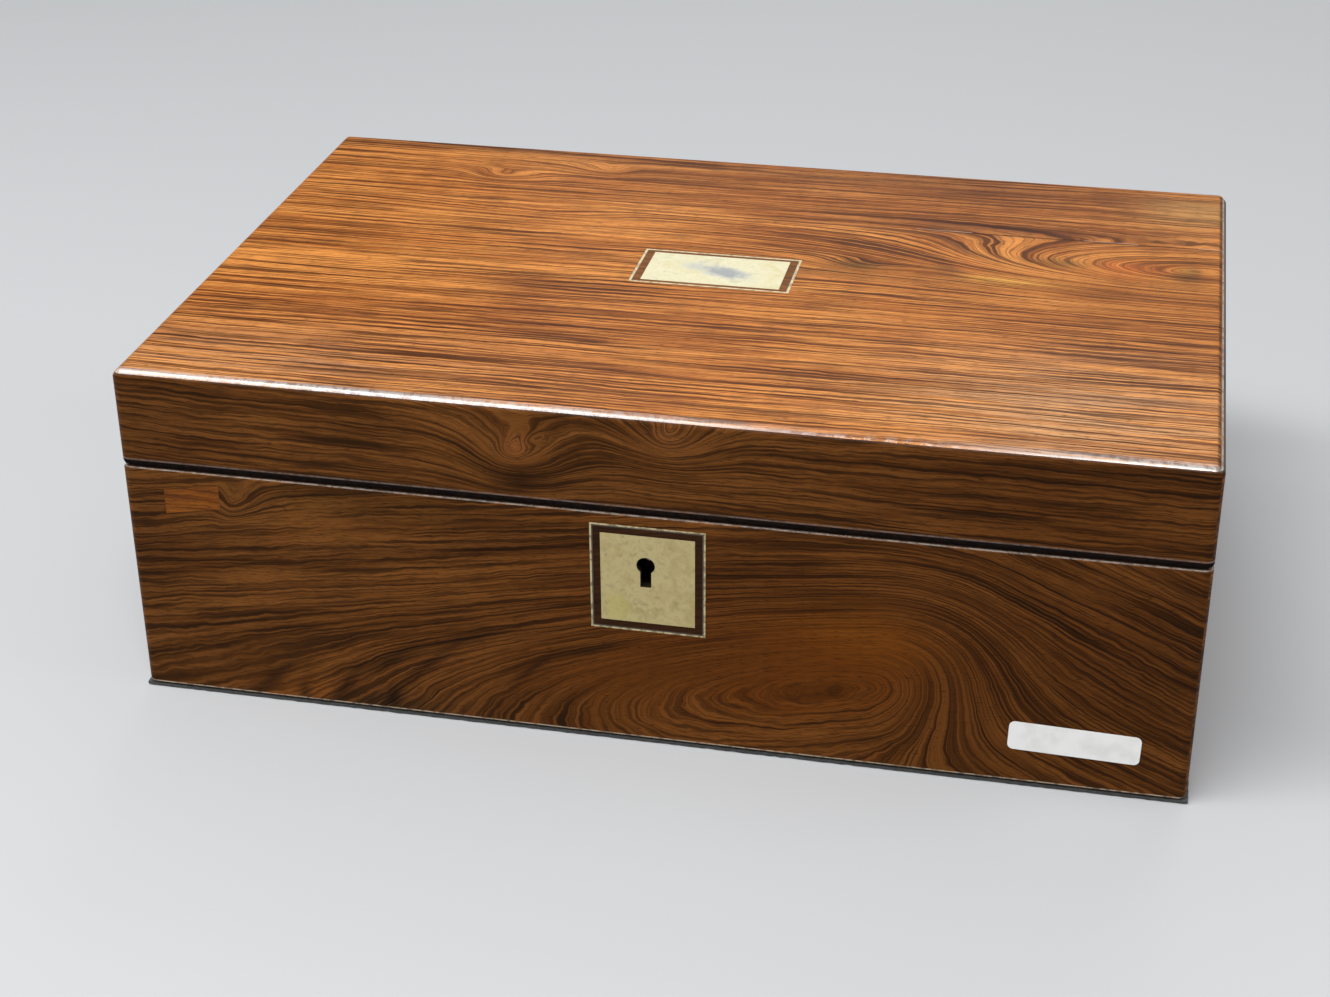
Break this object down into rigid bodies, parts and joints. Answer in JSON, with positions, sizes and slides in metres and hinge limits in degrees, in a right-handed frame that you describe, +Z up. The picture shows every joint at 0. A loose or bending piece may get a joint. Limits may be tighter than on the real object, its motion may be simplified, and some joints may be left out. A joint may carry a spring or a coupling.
{
  "type": "portable writing slope",
  "caption": "Closed antique rosewood writing slope: a box split on a slant, with hinged lid, pearl name plate, keyhole plate and lock; it opens flat into a sloping desk.",
  "frame": {"origin": "on the table under the middle of the closed box (hinge knuckles left out)", "axes": "+X to the right seen from the keyhole side, +Y to the hinges at the back, +Z up"},
  "size_m": [0.35, 0.2325, 0.1191],
  "materials": {
    "rosewood_top": "french polished, worn, glossy",
    "rosewood_dark": "french polished, worn, glossy",
    "carcass_wood": "waxed inside",
    "patch_wood": "polished repair",
    "pearl": "polished shell, mother-of-pearl",
    "line_inlay": "worn brass line",
    "brass": "aged",
    "iron": "dull",
    "felt": "matt wool cloth",
    "leather": "tooled, worn",
    "glass": "clear moulded"
  },
  "bodies": {
    "base": {"base_back_board": "carcass_wood", "base_back_ledge": "carcass_wood", "base_back_veneer": "rosewood_dark", "base_bottom_board": "carcass_wood", "base_flap_board": "rosewood_dark", "base_flap_leather": "leather", "base_front_board": "carcass_wood", "base_front_veneer": "rosewood_dark", "base_left_board": "carcass_wood", "base_left_veneer": "rosewood_dark", "base_right_board": "carcass_wood", "base_right_veneer": "rosewood_dark", "escutcheon_line": "line_inlay", "escutcheon_plate": "pearl", "hinge_left_base_leaf": "brass", "hinge_left_pin": "iron", "hinge_right_base_leaf": "brass", "hinge_right_pin": "iron", "ink_bottle_cap_left": "brass", "ink_bottle_cap_right": "brass", "ink_bottle_left": "glass", "ink_bottle_right": "glass", "ink_well_partition_left": "carcass_wood", "ink_well_partition_right": "carcass_wood", "lock_case": "brass", "lock_key_pin": "iron", "lock_plate": "brass", "lock_screw_left": "iron", "lock_screw_right": "iron", "lock_spring": "iron", "pen_tray": "carcass_wood", "pen_well_rail": "carcass_wood", "underside_felt": "felt", "veneer_patch": "patch_wood"},
    "lid": {"flap_catch_screw": "brass", "hinge_left_lid_leaf": "brass", "hinge_right_lid_leaf": "brass", "lid_back_board": "carcass_wood", "lid_back_ledge": "carcass_wood", "lid_back_veneer": "rosewood_dark", "lid_flap_board": "rosewood_dark", "lid_flap_leather": "leather", "lid_front_board": "carcass_wood", "lid_front_ledge": "carcass_wood", "lid_front_veneer": "rosewood_dark", "lid_left_board": "carcass_wood", "lid_left_veneer": "rosewood_dark", "lid_right_board": "carcass_wood", "lid_right_veneer": "rosewood_dark", "lid_top_board": "carcass_wood", "lid_top_veneer": "rosewood_top", "link_plate": "brass", "link_plate_screw_left": "iron", "link_plate_screw_right": "iron", "name_plate": "pearl", "name_plate_line": "line_inlay"},
    "bolt": {"lock_bolt": "brass"},
    "catch": {"flap_catch": "brass"}
  },
  "joints": [
    {"name": "lid_hinge", "type": "hinge", "parent": "base", "child": "lid", "pos_m": [0, 0.1153, 0.05955], "axis": [-1, 0, 0], "range_deg": [0, 180]},
    {"name": "bolt_slide", "type": "slide", "parent": "base", "child": "bolt", "axis": [1, 0, 0], "range_m": [0, 0.0045]},
    {"name": "catch_turn", "type": "hinge", "parent": "lid", "child": "catch", "pos_m": [0, -0.10045, 0.08381], "axis": [0, 0.109, 0.994], "range_deg": [0, 90]}
  ]
}
